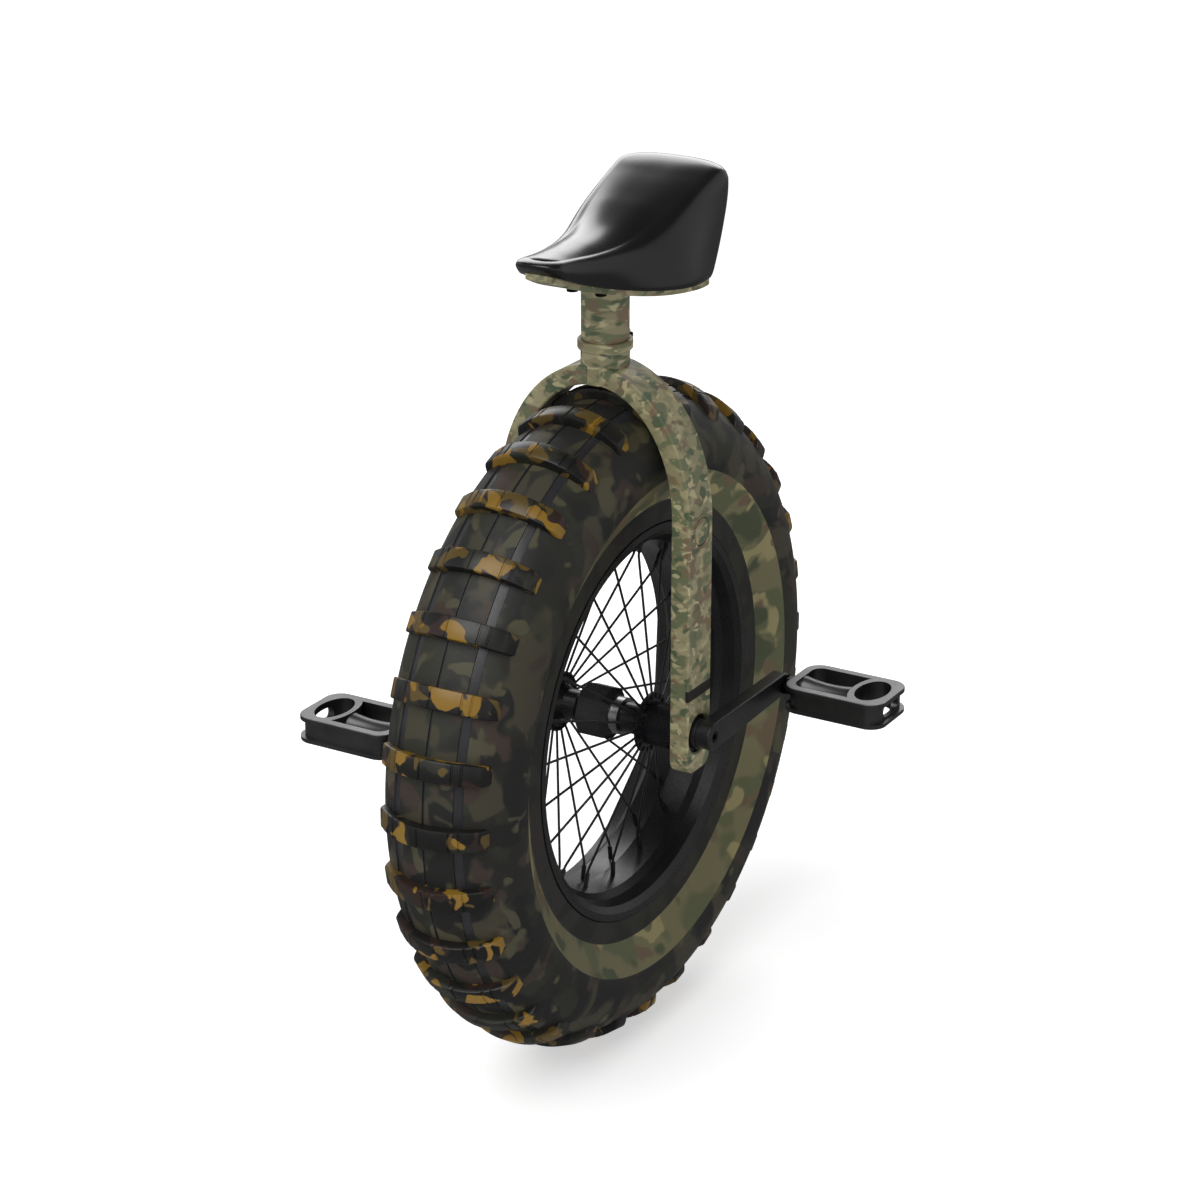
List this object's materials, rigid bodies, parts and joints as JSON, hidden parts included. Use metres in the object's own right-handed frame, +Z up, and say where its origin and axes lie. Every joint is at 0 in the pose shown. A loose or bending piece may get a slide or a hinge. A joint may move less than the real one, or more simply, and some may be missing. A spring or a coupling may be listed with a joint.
{
  "type": "unicycle",
  "caption": "Fat-tyre unicycle: lugged balloon tyre on a spoked wheel, flat-bar fork, cranks with cage pedals and a padded banana saddle.",
  "frame": {"origin": "on the ground under the wheel's axle, midway between the legs, where the tyre touches", "axes": "+X forward (the saddle's nose), +Y the rider's left, +Z up; the wheel turns about Y"},
  "size_m": [0.61, 0.444, 0.789],
  "materials": {
    "camo_paint": "satin camouflage paint",
    "strip_rubber": "matte",
    "tyre_rubber": "satin, dark camouflage pattern with a lighter sidewall band",
    "lug_rubber": "satin, black and mustard camouflage pattern",
    "tube_rubber": "matte",
    "black_alloy": "semi-gloss",
    "black_steel": "semi-gloss",
    "bearing_steel": "ground",
    "nylon": "matte",
    "valve_brass": "satin",
    "pedal_alloy": "satin",
    "pedal_steel": "turned",
    "saddle_leather": "glossy",
    "saddle_foam": "open-cell foam"
  },
  "bodies": {
    "fork": {"fork_leg_left": "camo_paint", "fork_leg_right": "camo_paint", "neck_tube": "camo_paint", "leg_strip_left": "strip_rubber", "leg_strip_right": "strip_rubber", "leg_plug_left": "camo_paint", "leg_plug_right": "camo_paint", "bearing_outer_left": "bearing_steel", "bearing_outer_right": "bearing_steel", "bearing_circlip_left": "bearing_steel", "bearing_circlip_right": "bearing_steel"},
    "seat_clamp": {"seat_clamp": "camo_paint", "clamp_bolt": "black_steel", "clamp_nut": "bearing_steel"},
    "seat": {"seatpost": "camo_paint", "saddle_plate": "camo_paint", "saddle_bolts": "black_steel", "saddle_pan": "nylon", "saddle_foam": "saddle_foam", "saddle_cover": "saddle_leather"},
    "ball_set_left": {"bearing_balls_left": "bearing_steel", "bearing_cage_left": "nylon"},
    "ball_set_right": {"bearing_balls_right": "bearing_steel", "bearing_cage_right": "nylon"},
    "pedal_left": {"pedal_frame_left": "pedal_alloy", "pedal_bushes_left": "valve_brass", "pedal_cap_left": "nylon"},
    "pedal_right": {"pedal_frame_right": "pedal_alloy", "pedal_bushes_right": "valve_brass", "pedal_cap_right": "nylon"},
    "wheel": {"bearing_inner_left": "bearing_steel", "bearing_inner_right": "bearing_steel", "crank_bolt_left": "black_steel", "crank_bolt_right": "black_steel", "crank_left": "black_alloy", "crank_right": "black_alloy", "hub_ring": "bearing_steel", "hub_shell": "black_alloy", "hub_sleeve": "black_alloy", "hub_spacer_left": "black_steel", "hub_spacer_right": "black_steel", "inner_tube": "tube_rubber", "nipples_left": "black_steel", "nipples_right": "black_steel", "pedal_nut_left": "pedal_steel", "pedal_nut_right": "pedal_steel", "pedal_spindle_left": "pedal_steel", "pedal_spindle_right": "pedal_steel", "rim": "black_alloy", "rim_tape": "tube_rubber", "spindle": "black_steel", "spokes_left": "black_steel", "spokes_right": "black_steel", "tread_lugs": "lug_rubber", "tyre": "tyre_rubber", "valve_cap": "nylon", "valve_nut": "valve_brass", "valve_stem": "black_steel"}
  },
  "joints": [
    {"name": "wheel_spin", "type": "hinge", "parent": "fork", "child": "wheel", "pos_m": [0, 0, 0.305], "axis": [0, 1, 0], "continuous": true},
    {"name": "ball_set_left_spin", "type": "hinge", "parent": "fork", "child": "ball_set_left", "pos_m": [0, 0.0865, 0.305], "axis": [0, 1, 0], "continuous": true},
    {"name": "ball_set_right_spin", "type": "hinge", "parent": "fork", "child": "ball_set_right", "pos_m": [0, -0.0865, 0.305], "axis": [0, 1, 0], "continuous": true},
    {"name": "pedal_left_spin", "type": "hinge", "parent": "wheel", "child": "pedal_left", "pos_m": [-0.13499, 0, 0.30689], "axis": [0, 1, 0], "continuous": true},
    {"name": "pedal_right_spin", "type": "hinge", "parent": "wheel", "child": "pedal_right", "pos_m": [0.13499, 0, 0.30312], "axis": [0, 1, 0], "continuous": true},
    {"name": "seat_turn", "type": "hinge", "parent": "fork", "child": "seat_clamp", "pos_m": [0, 0, 0.652], "axis": [0, 0, 1], "continuous": true},
    {"name": "seat_height", "type": "slide", "parent": "seat_clamp", "child": "seat", "axis": [0, 0, 1], "range_m": [0, 0.012]}
  ],
  "couplings": [
    {"joint": "ball_set_left_spin", "follows": "wheel_spin", "ratio": 0.4085},
    {"joint": "ball_set_right_spin", "follows": "wheel_spin", "ratio": 0.4085}
  ]
}
